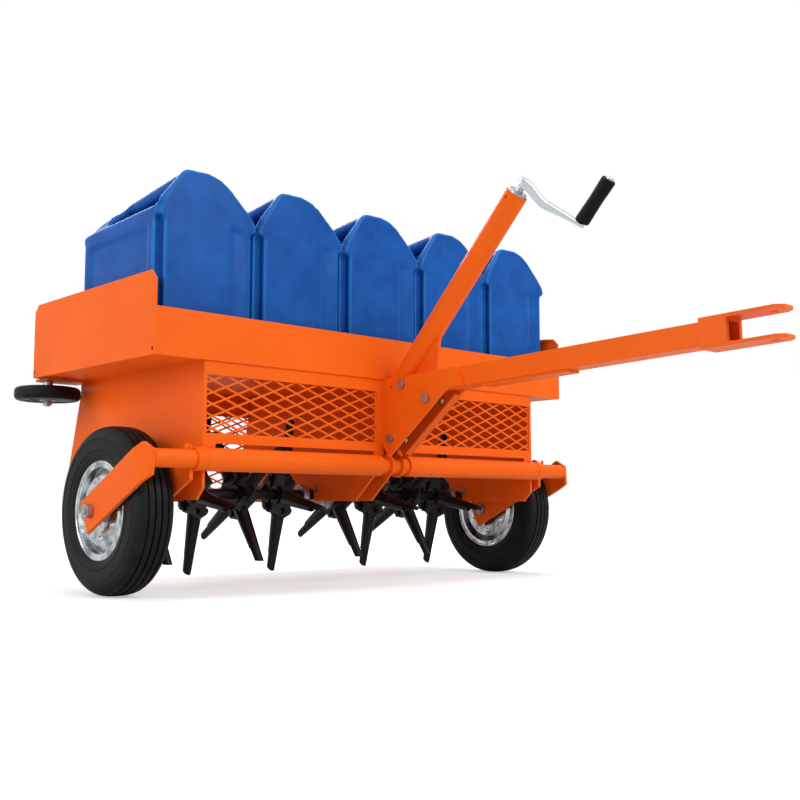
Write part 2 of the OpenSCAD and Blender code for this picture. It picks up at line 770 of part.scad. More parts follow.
// Square socket over the tongue's end; its top and bottom walls run on as the ears
module hitch_clevis() color(orange) in_frame() on_tongue() {
    half = tongue_w / 2 + clevis_wall;
    bore = tongue_w / 2 + seat_clear;
    start = -tongue_l + socket_l;
    tip = -tongue_l - ear_l;
    difference() {
        linear_extrude(2 * half, center = true) polygon([
            [-half, start], [half, start], [half, tip + ear_chamfer], [half - ear_chamfer, tip],
            [ear_chamfer - half, tip], [-half, tip + ear_chamfer]
        ]);
        translate([-bore, tip - eps, -bore]) cube([2 * bore, start - tip + 2 * eps, 2 * bore]);
        translate([-2 * half, tip - eps, -bore]) cube([4 * half, ear_l + eps, 2 * bore]);
        translate([0, tip + pin_edge, -half - eps]) cylinder(d = pin_hole_d, h = 2 * half + 2 * eps);
    }
}

module frame_bolts() color(zinc) in_frame() {
    rotate([90, 0, 90]) bracket_bolt_places() rotate([0, -90, 0])
        bolt_x(bracket_bolt_d, -cheek_out, cheek_out);
    on_both() at_reel() {
        bearing_bolt_places_x() mirror([1, 0, 0]) bolt_x(tine_bolt_d, -centre_out, -centre_in + 4);
        bearing_bolt_places_x() bolt_x(tine_bolt_d, plate_in, body_w / 2 + 4);
    }
}

// Screw jack

module jack_tube() color(orange) in_frame() {
    long = screw_reach;
    plug = 26;
    difference() {
        on_jack() difference() {
            translate([0, 0, -long]) cylinder(d = jack_d, h = long);
            translate([0, 0, -long - eps]) cylinder(d = jack_d - 2 * jack_wall, h = long - plug + eps);
            translate([0, 0, -plug - eps]) cylinder(d = screw_d + 2 * run_clear, h = plug + 2 * eps);
            translate([0, 0, -14]) rod_x(6, -jack_d, 0);
        }
        on_tongue() translate([-jack_d, -tongue_l, tongue_w / 2 + seat_clear - jack_d * 6])
            cube([2 * jack_d, tongue_l * 1.5, jack_d * 6]);
    }
    jack_gusset();
}

// Web plate between the jack tube and the top of the tongue
module jack_gusset() difference() {
    plate_yz(-cheek_t / 2, cheek_t) polygon([
        [-body_ahead - 149, tongue_z], [-body_ahead - 167, tongue_z + 108], [-body_ahead - 90, tongue_z + 55],
        [-body_ahead - 60, tongue_z]
    ]);
    on_tongue() translate([-jack_d, -tongue_l, -tongue_w]) cube([2 * jack_d, tongue_l, 1.5 * tongue_w]);
    on_jack() translate([0, 0, -screw_reach]) cylinder(d = jack_d - jack_wall, h = screw_reach);
}

// Screw from under the crank down to its free end behind the nut, with a thrust collar
module jack_screw() color(zinc) in_frame() on_jack() difference() {
    low = -nut_rest - nut_l;
    union() {
        translate([0, 0, low]) cylinder(d = screw_d, h = crank_top - crank_web - seat_clear - low);
        translate([0, 0, end_clear]) cylinder(d = jack_d - 2 * jack_wall, h = 6);
    }
    translate([0, 0, crank_pin_z]) rotate(crank_turn) rod_x(crank_pin_d + 2 * bolt_clear, -screw_d, screw_d);
}

module trunnion_nut() color(zinc) in_frame() on_jack() translate([0, 0, -nut_rest]) {
    block = 2 * lever_in - 2 * end_clear;
    difference() {
        union() {
            translate([-block / 2, -block / 2 - 4, -nut_l / 2]) cube([block, block + 8, nut_l]);
            rod_x(trunnion_d, -cheek_in + end_clear, cheek_in - end_clear);
        }
        translate([0, 0, -nut_l]) cylinder(d = screw_d + 2 * run_clear, h = 2 * nut_l);
    }
}

crank_top = 38;
crank_web = 4;
crank_flange = 3;
crank_pin_z = 26;
crank_pin_d = 7;
grip_z = crank_top - crank_drop + end_clear;

// Side outline of the crank arm: level at the hub, an S bend, then level to the grip
function crank_line(fall) = [
    [-15, crank_top - fall], [15, crank_top - fall],
    [0.36 * crank_r, crank_top - crank_drop - fall], [crank_r + 12, crank_top - crank_drop - fall]
];

module crank_strip(fall) polygon(concat(crank_line(0), [for (i = [3 : -1 : 0]) crank_line(fall)[i]]));

// Channel section crank: its flanges take the pin through the screw, its web carries the spindle
module crank_arm() color(zinc) in_frame() on_jack() rotate(crank_turn - 90) {
    plate_xz(-crank_w / 2, crank_w) crank_strip(crank_web);
    for (y = [-crank_w / 2, crank_w / 2 - crank_flange])
        plate_xz(y, crank_flange) crank_strip(20);
    translate([0, 0, crank_pin_z]) rotate(90) bolt_x(crank_pin_d, -crank_w / 2, crank_w / 2);
    translate([crank_r, 0, grip_z - crank_web]) cylinder(d = spindle_d, h = crank_web + grip_l + 6);
    translate([crank_r, 0, grip_z + grip_l + end_clear]) cylinder(d = spindle_d + 7, h = 5);
}

module crank_grip() color(black) in_frame() on_jack() rotate(crank_turn - 90)
    translate([crank_r, 0, grip_z]) difference() {
        rotate_extrude() polygon([
            [0, 0], [grip_d / 2 - 2, 0], [grip_d / 2, 3], [grip_d / 2 - 1.2, grip_l / 2],
            [grip_d / 2, grip_l - 3],
            [grip_d / 2 - 2, grip_l], [0, grip_l]
        ]);
        translate([0, 0, -eps]) cylinder(d = spindle_d + 2 * run_clear, h = grip_l + 2 * eps);
    }

// Tine reels

module bearing_bolt_places_x()
    for (a = [25, 155])
        translate([0, bearing_d * 0.41 * cos(a), bearing_d * 0.41 * sin(a)]) children();

// Pressed flange housing with its inner ring, flange against x = 0, dome towards +X
module flange_bearing() difference() {
    rotate([0, 90, 0]) rotate_extrude() polygon([
        [0, 0], [bearing_d / 2, 0], [bearing_d / 2, 4], [reel_d / 2 + 9, 4],
        [reel_d / 2 + 7, bearing_l - 4], [reel_d / 2 + 4, bearing_l], [0, bearing_l]
    ]);
    rod_x(reel_d + 2 * run_clear, -eps, bearing_l + eps);
    bearing_bolt_places_x() rod_x(tine_bolt_d + 2 * bolt_clear, -eps, bearing_l);
}

module reel_bearings() color(zinc) in_frame() on_both() at_reel() {
    translate([centre_in, 0, 0]) mirror([1, 0, 0]) flange_bearing();
    translate([body_w / 2, 0, 0]) flange_bearing();
}

module reel_shaft() at_reel() rod_x(reel_d, centre_in - bearing_l - 2, body_w / 2 + bearing_l + 2);

// Distance of the tine bolts from the shaft along both sides of the star plate
tine_bolt_p = star_hub_d / 2 + 12;

// Places the stars along a shaft from its left-hand plate; every second star is turned by half a tine
module star_places(plate_x)
    for (i = [0 : star_count - 1])
        translate([plate_x + star_edge + i * star_pitch, 0, 0])
            rotate([star_phase + (i + 1) % 2 * 45, 0, 0]) children();

// The two reels are alike: each starts at the plate on its left
module on_left_reel() at_reel() star_places(-plate_in) children();
module on_right_reel() at_reel() star_places(centre_out) children();

// Square plate with cut corners on a hub
module star_hub() {
    cut = star_half * 0.3;
    s = star_half;
    difference() {
        union() {
            plate_yz(-star_t / 2, star_t) difference() {
                polygon([
                    [-s, -s + cut], [-s + cut, -s], [s - cut, -s], [s, -s + cut],
                    [s, s - cut], [s - cut, s], [-s + cut, s], [-s, s - cut]
                ]);
                for (a = [0 : 90 : 270]) rotate(a) translate([tine_bolt_p, -tine_bolt_p])
                    circle(d = tine_bolt_d + 2 * bolt_clear);
            }
            rod_x(star_hub_d, -star_hub_l / 2, star_hub_l / 2);
        }
        rod_x(reel_d + 2 * seat_clear, -star_hub_l, star_hub_l);
    }
}

// Coring tine pointing down, its foot flat on the plane x = 0: a closed cone that opens
// into a spoon near its slanted tip
module tine() {
    foot_in = star_hub_d / 2 + 3;
    root = foot_in + 18;
    long = tip_r - root;
    axis = foot_t / 2;
    difference() {
        union() {
            plate_yz(0, foot_t) polygon([
                [-foot_half, -foot_in], [foot_half, -foot_in], [foot_half, -foot_in - 15],
                [tine_root_d / 2, -root - 16], [-tine_root_d / 2, -root - 16], [-foot_half, -foot_in - 15]
            ]);
            translate([axis, 0, -tip_r]) cylinder(d1 = tine_tip_d, d2 = tine_root_d, h = long);
        }
        translate([axis, 0, -tip_r - eps])
            cylinder(d1 = tine_tip_d - 2 * tine_wall, d2 = tine_root_d - 2 * tine_wall, h = long - 14);
        translate([axis - tine_root_d, tine_tip_d * 0.1, -tip_r - eps])
            cube([2 * tine_root_d, tine_root_d, spoon_l]);
        translate([axis, -tine_tip_d / 2, -tip_r]) rotate([35, 0, 0])
            translate([-tine_root_d, 0, -tine_root_d]) cube([2 * tine_root_d, 2 * tine_root_d, tine_root_d]);
        translate([-tine_root_d - seat_clear, -star_half * 2, -star_half - end_clear])
            cube([tine_root_d + seat_clear, star_half * 4, star_half * 2]);
        for (side = [-1, 1])
            translate([0, side * tine_bolt_p, -tine_bolt_p])
                rod_x(tine_bolt_d + 2 * bolt_clear, -eps, foot_t + eps);
    }
}

// Tines sit in opposite pairs, one pair on each face of the star plate
module tine_seats()
    for (i = [0 : 3])
        rotate([90 * i, 0, 0]) mirror([i % 2, 0, 0]) translate([star_t / 2, 0, 0]) children();

// One bolt on each corner of a star plate clamps the feet of two neighbouring tines
module tine_bolts()
    for (a = [0 : 90 : 270]) rotate([a, 0, 0])
        translate([0, tine_bolt_p, -tine_bolt_p])
            bolt_x(tine_bolt_d, -star_t / 2 - foot_t, star_t / 2 + foot_t);

module reel_shaft_left() color(black) in_frame() on_left() reel_shaft();
module reel_shaft_right() color(black) in_frame() reel_shaft();
module star_hubs_left() color(black) in_frame() on_left_reel() star_hub();
module star_hubs_right() color(black) in_frame() on_right_reel() star_hub();
module tines_left() color(black) in_frame() on_left_reel() tine_seats() tine();
module tines_right() color(black) in_frame() on_right_reel() tine_seats() tine();
module tine_bolts_left() color(black) in_frame() on_left_reel() tine_bolts();
module tine_bolts_right() color(black) in_frame() on_right_reel() tine_bolts();

// Storage wheels, for standing and rolling the machine on its rear end

module at_storage() translate([storage_x, storage_behind, storage_top - storage_w / 2]) children();

module storage_brackets() color(orange) in_frame() on_both() {
    reach = storage_x - body_w / 2 + 1.5 * stud_d;
    translate([body_w / 2 + seat_clear, storage_behind - 3 * stud_d, tray_z - bracket_t])
        cube([reach, 5 * stud_d, bracket_t]);
}

module storage_studs() color(zinc) in_frame() on_both() at_storage() {
    top = storage_w / 2 + storage_drop;
    low = -storage_w / 2 - end_clear;
    translate([0, 0, storage_w / 2 + end_clear]) cylinder(d = 1.8 * stud_d, h = storage_drop - end_clear);
    translate([0, 0, low - stud_d]) cylinder(d = stud_d, h = top - low + stud_d);
    translate([0, 0, low - 0.8 * stud_d]) cylinder(d = 1.6 * stud_d / cos(30), h = 0.8 * stud_d, $fn = 6);
}

module storage_tyre() at_storage() rotate_extrude() {
    r = storage_w / 3;
    inner = storage_d / 2 - 0.16 * storage_d;
    translate([inner, -storage_w / 2]) square([storage_d / 2 - r - inner, storage_w]);
    translate([inner, -storage_w / 2 + r]) square([storage_d / 2 - inner, storage_w - 2 * r]);
    for (z = [-1, 1])
        translate([storage_d / 2 - r, z * (storage_w / 2 - r)]) circle(r = r);
}

module storage_hub() at_storage() difference() {
    rim = storage_d / 2 - 0.16 * storage_d - seat_clear;
    boss = 1.5 * stud_d;
    high = storage_w / 2;
    rotate_extrude() polygon([
        [0, -high], [boss, -high], [boss, -3], [rim - 5, -3], [rim - 5, 2 - high], [rim, 2 - high],
        [rim, high - 2], [rim - 5, high - 2], [rim - 5, 3], [boss, 3], [boss, high], [0, high]
    ]);
    translate([0, 0, -storage_w]) cylinder(d = stud_d + 2 * run_clear, h = 2 * storage_w);
    for (a = [0 : 72 : 288]) rotate(a)
        translate([(boss + rim - 5) / 2, 0, -storage_w]) cylinder(d = 0.12 * storage_d, h = 2 * storage_w);
}

module storage_tyre_left() color(black) in_frame() on_left() storage_tyre();
module storage_tyre_right() color(black) in_frame() storage_tyre();
module storage_hub_left() color(grey) in_frame() on_left() storage_hub();
module storage_hub_right() color(grey) in_frame() storage_hub();

// Water jugs

// Puts a jug's own origin at the middle of its front edge, on the tray floor
module at_jug(i)
    translate([(i - (jug_count + 1) / 2) * jug_pitch, -jug_ahead, tray_floor]) children();

ridge_x = -46;
ridge_r = 20;
brow_x = 18;
brow_r = 100;
ridge_slope = atan(ridge_fall / jug_d);

// Upright corner post of the moulding
module jug_post(x, y, h) translate([x, y, 0]) cylinder(r = jug_corner_r, h = h, $fn = 32);

// Short round bar along Y that shapes the top of the moulding
module jug_bar(x, y, z, r) translate([x, y + 4, z]) rotate([90, 0, 0]) cylinder(r = r, h = 4, $fn = 32);

module jug_shell() hull() {
    x = jug_w / 2 - jug_corner_r;
    for (y = [jug_corner_r, jug_d - jug_corner_r]) {
        jug_post(-x, y, jug_shoulder);
        jug_post(x, y, jug_shoulder_far);
    }
    jug_bar(ridge_x, 0, jug_peak - ridge_r, ridge_r);
    jug_bar(ridge_x, jug_d - jug_corner_r, jug_peak - ridge_fall - ridge_r, ridge_r);
    jug_bar(brow_x, 0, jug_peak - 8 - brow_r, brow_r);
    jug_bar(brow_x, jug_d - jug_corner_r, jug_peak - 8 - ridge_fall - brow_r, brow_r);
}

hand_hole_l = 0.6 * jug_d;
neck_x = 58;
neck_y = jug_d - 76;
neck_z = jug_shoulder;
neck_d = cap_d - 14;

module jug_body() {
    difference() {
        jug_shell();
        // Hand hole behind the front wall, open to the left slope and under the grip
        translate([0, jug_wall + hand_hole_l, 0]) rotate([90, 0, 0]) linear_extrude(hand_hole_l) polygon([
            [-jug_w, jug_shoulder + 4], [14 - jug_w / 2, jug_shoulder + 4],
            [22 - jug_w / 2, jug_shoulder - 40],
            [-14, jug_shoulder - 40], [-14, jug_peak + 60], [-jug_w, jug_peak + 60]
        ]);
        // Flat seat round the filler neck
        translate([neck_x, neck_y, neck_z]) cylinder(d = cap_d + 18, h = jug_peak);
        jug_flutes();
        jug_panels();
    }
    translate([ridge_x, jug_wall / 2, jug_peak - hand_grip_d / 2 - 1]) rotate([-90 - ridge_slope, 0, 0])
        cylinder(d = hand_grip_d, h = hand_hole_l + jug_wall);
    translate([neck_x, neck_y, neck_z - eps]) cylinder(d = neck_d, h = cap_h - 4);
}

// Hollow flutes down the four corners, round at the top
module jug_flutes()
    for (side = [-1, 1], y = [flute_r / 2, jug_d - flute_r / 2])
        translate([side * (jug_w / 2 - flute_r / 2), y, 0]) {
            high = jug_shoulder - 2.4 * flute_r;
            translate([0, 0, -eps]) cylinder(r = flute_r, h = high + eps);
            translate([0, 0, high]) sphere(r = flute_r);
        }

// Shallow panels in the front, the rear and both sides
module jug_panels() {
    high = jug_shoulder - 50;
    rib = 0.05 * jug_w;
    wide = jug_w / 2 - 2.2 * jug_corner_r;
    for (side = [-1, 1], y = [-panel_depth, jug_d - panel_depth])
        translate([side * (rib + wide / 2) - wide / 2, y, 24]) cube([wide, 2 * panel_depth, high]);
    for (x = [-jug_w / 2, jug_w / 2])
        translate([x - panel_depth, 2 * jug_corner_r, 24])
            cube([2 * panel_depth, jug_d - 4 * jug_corner_r, high]);
}

// Screw cap with a ribbed skirt, hollow over the neck
module jug_cap_body() translate([neck_x, neck_y, neck_z + end_clear]) difference() {
    union() {
        cylinder(d = cap_d - 4, h = cap_h);
        for (a = [0 : 30 : 330]) rotate(a) translate([cap_d / 2 - 2, 0, 0]) cylinder(d = 4, h = cap_h - 3);
    }
    translate([0, 0, -eps]) cylinder(d = neck_d + 2 * end_clear, h = cap_h - 4 + eps);
}

module jug(i) color(blue) in_frame() at_jug(i) jug_body();
module jug_cap(i) color(blue) in_frame() at_jug(i) jug_cap_body();

tray_pan();
side_plate_left();
side_plate_right();
centre_plate_left();
centre_plate_right();
front_frame();
front_mesh_left();
front_mesh_right();
rear_frame();
rear_mesh();
pivot_sleeve_left();
pivot_sleeve_right();
tongue_plate_left();
tongue_plate_right();
tongue_tube();
hitch_clevis();
jack_tube();
frame_bolts();
reel_bearings();
storage_brackets();
storage_studs();
rockshaft_tube();
lift_lever();
wheel_arms_left();
wheel_arms_right();
axle_bolts();
grease_nipples();
tyre_left();
rim_left();
wheel_hub_left();
tyre_right();
rim_right();
wheel_hub_right();
reel_shaft_left();
star_hubs_left();
tines_left();
tine_bolts_left();
reel_shaft_right();
star_hubs_right();
tines_right();
tine_bolts_right();
storage_tyre_left();
storage_hub_left();
storage_tyre_right();
storage_hub_right();
jack_screw();
crank_arm();
crank_grip();
trunnion_nut();
jug(1);  // jug_1
jug_cap(1);  // jug_cap_1
jug(2);  // jug_2
jug_cap(2);  // jug_cap_2
jug(3);  // jug_3
jug_cap(3);  // jug_cap_3
jug(4);  // jug_4
jug_cap(4);  // jug_cap_4
jug(5);  // jug_5
jug_cap(5);  // jug_cap_5
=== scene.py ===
"""Dresses the tow-behind aerator: materials, jug mouldings, trimmed sheet metal, the crank, small detail,
light and camera. Lengths are in metres."""
import json
import math

import bmesh
import bpy
import numpy as np
from mathutils import Euler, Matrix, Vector


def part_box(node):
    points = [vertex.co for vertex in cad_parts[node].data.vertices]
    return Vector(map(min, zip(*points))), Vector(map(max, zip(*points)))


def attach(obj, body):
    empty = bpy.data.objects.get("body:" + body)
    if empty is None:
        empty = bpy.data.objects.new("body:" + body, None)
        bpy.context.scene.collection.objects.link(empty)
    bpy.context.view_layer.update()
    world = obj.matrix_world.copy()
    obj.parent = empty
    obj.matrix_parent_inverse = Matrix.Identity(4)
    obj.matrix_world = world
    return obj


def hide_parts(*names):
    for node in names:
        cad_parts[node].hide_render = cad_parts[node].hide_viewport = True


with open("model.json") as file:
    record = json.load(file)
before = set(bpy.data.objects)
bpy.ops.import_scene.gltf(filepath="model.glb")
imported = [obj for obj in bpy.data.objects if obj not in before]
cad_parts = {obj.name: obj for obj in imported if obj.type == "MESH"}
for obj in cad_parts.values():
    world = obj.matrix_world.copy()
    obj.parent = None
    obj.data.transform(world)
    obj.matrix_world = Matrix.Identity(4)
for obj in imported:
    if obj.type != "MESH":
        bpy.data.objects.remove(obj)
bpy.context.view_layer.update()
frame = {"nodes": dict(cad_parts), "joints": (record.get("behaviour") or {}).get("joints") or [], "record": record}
nodes = frame["nodes"]
record = frame["record"]
scene = bpy.context.scene

# Joint places and axes that the pieces below are set out from
joints = {j["name"]: j for j in frame["joints"]}
AXLE_Y = joints["wheel_spin_right"]["pos_m"][1]
PIVOT = Vector(joints["lift"]["pos_m"])
REEL = Vector(joints["reel_spin_right"]["pos_m"])
CRANK = Vector(joints["crank_turn"]["pos_m"])
CRANK_AXIS = Vector(joints["crank_turn"]["axis"]).normalized()
GRIP = Vector(joints["grip_spin"]["pos_m"])

X_AXIS = Vector((1, 0, 0))
Y_AXIS = Vector((0, 1, 0))
Z_AXIS = Vector((0, 0, 1))


# Materials

# Cosine of a rounded edge's turn where the painted edge highlight is full, and where there is none
EDGE_HIGHLIGHT_TURN = (0.7, 0.96)
# Pointiness of a flat face, and of a fully convex edge, between which the painted convex-edge highlight comes in
CONVEX_BEND = (0.515, 0.575)
BEVEL_SAMPLES = 4
# Edges that turn less than this are shaded smooth
SMOOTH_BELOW = math.radians(35)


class Shader:
    """A Principled material with short calls for the nodes it uses."""

    def __init__(self, name):
        self.material = bpy.data.materials.new(name)
        self.material.use_nodes = True
        self.tree = self.material.node_tree
        self.bsdf = self.tree.nodes["Principled BSDF"]
        self.place = self.tree.nodes.new("ShaderNodeTexCoord").outputs["Object"]
        self.rounded = None

    def set(self, **sockets):
        """Sets constants on the shader's own sockets; an underscore stands for a space."""
        for key, value in sockets.items():
            self.bsdf.inputs[key.replace("_", " ")].default_value = value
        return self

    def noise(self, scale, detail=4.0, roughness=0.55):
        """Noise in the part's own space; scale is in features per metre."""
        node = self.tree.nodes.new("ShaderNodeTexNoise")
        node.inputs["Scale"].default_value = scale
        node.inputs["Detail"].default_value = detail
        node.inputs["Roughness"].default_value = roughness
        self.tree.links.new(self.place, node.inputs["Vector"])
        return node.outputs["Fac"]

    def cells(self, scale):
        """Random value per Voronoi cell."""
        node = self.tree.nodes.new("ShaderNodeTexVoronoi")
        node.inputs["Scale"].default_value = scale
        self.tree.links.new(self.place, node.inputs["Vector"])
        split = self.tree.nodes.new("ShaderNodeSeparateColor")
        self.tree.links.new(node.outputs["Color"], split.inputs["Color"])
        return split.outputs["Red"]

    def ramp(self, value, stops):
        """Colour ramp through (position, colour) stops."""
        node = self.tree.nodes.new("ShaderNodeValToRGB")
        elements = node.color_ramp.elements
        while len(elements) < len(stops):
            elements.new(0.5)
        for element, (position, colour) in zip(elements, stops):
            element.position = position
            element.color = (*colour, 1.0)
        self.tree.links.new(value, node.inputs["Fac"])
        return node.outputs["Color"]

    def span(self, value, low, high, start=0.0, end=1.0):
        """Maps a value from start to end onto the range low to high."""
        node = self.tree.nodes.new("ShaderNodeMapRange")
        node.inputs["From Min"].default_value = start
        node.inputs["From Max"].default_value = end
        node.inputs["To Min"].default_value = low
        node.inputs["To Max"].default_value = high
        self.tree.links.new(value, node.inputs["Value"])
        return node.outputs["Result"]

    def mix(self, colour, other, share):
        """The colour, going over to the other one by the share."""
        node = self.tree.nodes.new("ShaderNodeMix")
        node.data_type = "RGBA"
        node.inputs["B"].default_value = (*other, 1.0)
        self.tree.links.new(share, node.inputs["Factor"])
        self.tree.links.new(colour, node.inputs["A"])
        return node.outputs["Result"]

    def bevel(self, radius):
        """Normal that rolls over the edges within the given radius."""
        node = self.tree.nodes.new("ShaderNodeBevel")
        node.samples = BEVEL_SAMPLES
        node.inputs["Radius"].default_value = radius
        self.rounded = node.outputs["Normal"]
        return self

    def edges(self, colour, edge_highlight):
        """The colour, with the given highlight colour painted where the rounded normal leaves the true one: a
        painted highlight along the edges.
        """
        turn = self.tree.nodes.new("ShaderNodeVectorMath")
        turn.operation = "DOT_PRODUCT"
        self.tree.links.new(self.rounded, turn.inputs[0])
        true = self.tree.nodes.new("ShaderNodeNewGeometry").outputs["True Normal"]
        self.tree.links.new(true, turn.inputs[1])
        return self.mix(colour, edge_highlight, self.span(turn.outputs["Value"], 1.0, 0.0, *EDGE_HIGHLIGHT_TURN))

    def convex(self, colour, pale):
        """The colour, with the pale one along convex edges of the mesh: a painted highlight."""
        bend = self.tree.nodes.new("ShaderNodeNewGeometry").outputs["Pointiness"]
        return self.mix(colour, pale, self.span(bend, 0.0, 1.0, *CONVEX_BEND))

    def colour(self, socket):
        self.tree.links.new(socket, self.bsdf.inputs["Base Color"])
        return self

    def rough(self, socket):
        self.tree.links.new(socket, self.bsdf.inputs["Roughness"])
        return self

    def relief(self, height, depth):
        """Bump of the given depth, over the rounded edges where there are any."""
        bump = self.tree.nodes.new("ShaderNodeBump")
        bump.inputs["Strength"].default_value = 1.0
        bump.inputs["Distance"].default_value = depth
        self.tree.links.new(height, bump.inputs["Height"])
        if self.rounded:
            self.tree.links.new(self.rounded, bump.inputs["Normal"])
        self.tree.links.new(bump.outputs["Normal"], self.bsdf.inputs["Normal"])
        return self


def powder_coat():
    s = Shader("orange_powder_coat").set(Specular_IOR_Level=0.11).bevel(0.0012)
    coat = s.ramp(s.noise(6, 5), [(0.3, (0.87, 0.114, 0.004)), (0.7, (0.93, 0.134, 0.006))])
    # Paler, yellower orange on the rounded edges: a painted highlight
    s.colour(s.edges(coat, edge_highlight=(0.98, 0.24, 0.05)))
    s.rough(s.span(s.noise(35, 3), 0.34, 0.46))
    return s.relief(s.noise(700, 2), depth=0.00003).material


def black_enamel():
    s = Shader("black_enamel").set(Specular_IOR_Level=0.3).bevel(0.001)
    coat = s.ramp(s.noise(30, 6), [(0.35, (0.0035, 0.0035, 0.004)), (0.75, (0.012, 0.012, 0.012))])
    # Paler black on the rounded edges: a painted highlight
    s.colour(s.edges(coat, edge_highlight=(0.045, 0.043, 0.042)))
    s.rough(s.span(s.noise(45, 4), 0.3, 0.5))
    return s.relief(s.noise(260, 3), depth=0.00012).material


def plated(name, dark, light, low, high):
    """Plated steel between two greys, with a roughness from low to high."""
    s = Shader(name).set(Metallic=1.0).bevel(0.0008)
    coat = s.ramp(s.noise(40, 4), [(0.3, dark), (0.7, light)])
    # Brighter grey on the rounded edges: a painted highlight
    s.colour(s.edges(coat, edge_highlight=tuple(min(1.0, 1.15 * c) for c in light)))
    s.rough(s.span(s.noise(60, 3), low, high))
    return s.relief(s.noise(300, 2), depth=0.00003).material


def galvanised():
    s = Shader("galvanised_sheet").set(Metallic=1.0).bevel(0.0012)
    greys = [(0.36, (0.26, 0.27, 0.28)), (0.5, (0.48, 0.5, 0.51)), (0.64, (0.66, 0.68, 0.69))]
    coat = s.ramp(s.noise(38, 2, 0.45), greys)
    # Paler grey on the rounded edges: a painted highlight
    s.colour(s.edges(coat, edge_highlight=(0.8, 0.82, 0.84)))
    s.rough(s.span(s.cells(75), 0.2, 0.28))
    return s.relief(s.noise(24, 2), depth=0.003).material


def rubber(name, dark, light, low, high):
    """Rubber between two blacks, with a roughness from low to high."""
    s = Shader(name).set(Specular_IOR_Level=0.13).bevel(0.0012)
    s.colour(s.ramp(s.noise(24, 7, 0.65), [(0.35, dark), (0.75, light)]))
    s.rough(s.span(s.noise(40, 5), low, high))
    return s.relief(s.noise(800, 3), depth=0.0001).material


def moulded(name, dark, light, grain, depth, shine=0.3, rim_highlight=None):
    """Moulded plastic; the last argument, where given, is a paler colour painted along its convex edges: a painted
    highlight for the light that the thin plastic lets through there.
    """
    s = Shader(name).set(Specular_IOR_Level=shine)
    coat = s.ramp(s.noise(grain, 7, 0.6), [(0.32, dark), (0.7, light)])
    # Paler colour along the convex edges: a painted highlight
    if rim_highlight:
        coat = s.convex(coat, rim_highlight)
    s.colour(coat)
    s.rough(s.span(s.noise(18, 4), 0.3, 0.42))
    return s.relief(s.noise(grain * 2.5, 4, 0.55), depth).material


looks = {
    "orange_paint": powder_coat(),
    "black_paint": black_enamel(),
    "zinc": plated("dull_zinc", (0.3, 0.31, 0.33), (0.48, 0.49, 0.51), 0.34, 0.46),
    "bright_zinc": plated("bright_zinc", (0.56, 0.58, 0.6), (0.68, 0.69, 0.7), 0.2, 0.28),
    "galvanised": galvanised(),
    "tyre": rubber("tyre_rubber", (0.004, 0.004, 0.004), (0.011, 0.011, 0.0107), 0.42, 0.6),
    "grip": rubber("grip_rubber", (0.0025, 0.0025, 0.0025), (0.006, 0.006, 0.006), 0.5, 0.65),
    "hub_grey": moulded("grey_moulding", (0.2, 0.205, 0.21), (0.32, 0.325, 0.33), 30, 0.00015),
    "jug_blue": moulded(
        "jug_moulding", (0.004, 0.064, 0.3), (0.008, 0.1, 0.4), 16, 0.0006,
        # Paler blue along the convex edges: a painted highlight
        shine=0.1, rim_highlight=(0.03, 0.22, 0.62),
    ),
    "cap_blue": moulded("cap_moulding", (0.008, 0.04, 0.2), (0.016, 0.07, 0.3), 40, 0.0002),
}


def paint(obj, look):
    """Gives an object one of the looks, and smooth shading over its shallow edges."""
    obj.data.materials.clear()
    obj.data.materials.append(looks[look])
    obj.data.shade_smooth()
    obj.data.set_sharp_from_angle(angle=SMOOTH_BELOW)


for part in record["subparts"]:
    paint(nodes[part["node"]], part["material_slot"])


# Jugs. Their forms are set out by places: across from a jug's middle, back from its front, up from its base

VOXEL = 0.0042
ROUNDS = 20
JUGS = 5
ROOT_2 = math.sqrt(2)

# Crown of a jug's front: across, height of the solid, height of the moulding
CROWN = np.array([
    (-0.122, 0.31, 0.313), (-0.106, 0.333, 0.338), (-0.081, 0.368, 0.368), (-0.046, 0.403, 0.4015),
    (-0.019, 0.3996, 0.4025), (0.0, 0.3973, 0.402), (0.013, 0.3956, 0.4), (0.027, 0.3946, 0.396),
    (0.051, 0.3894, 0.383), (0.066, 0.3827, 0.37), (0.076, 0.3764, 0.361), (0.09, 0.3644, 0.3485),
    (0.102, 0.3489, 0.3375), (0.108, 0.3396, 0.332), (0.122, 0.318, 0.319),
])


def ease(low, high, value):
    """Smooth step from 0 at low to 1 at high."""
    t = np.clip((value - low) / (high - low), 0.0, 1.0)
    return t * t * (3.0 - 2.0 * t)


def hollow(value, half):
    """Round hollow: 1 at zero, fading to 0 at half on both sides."""
    return np.cos(0.5 * np.pi * np.clip(value / half, -1.0, 1.0)) ** 2


def rows(mesh, kind):
    """Places (co) or normals (normal) of a mesh's vertices, one row each."""
    values = np.empty(3 * len(mesh.vertices))
    mesh.vertices.foreach_get(kind, values)
    return values.reshape(-1, 3)


def remeshed(piece):
    """Even, fine mesh of a piece's shape."""
    remesh = piece.modifiers.new("remesh", "REMESH")
    remesh.mode = "VOXEL"
    remesh.voxel_size = VOXEL
    shape = bpy.data.meshes.new_from_object(piece.evaluated_get(bpy.context.evaluated_depsgraph_get()))
    piece.modifiers.clear()
    return shape


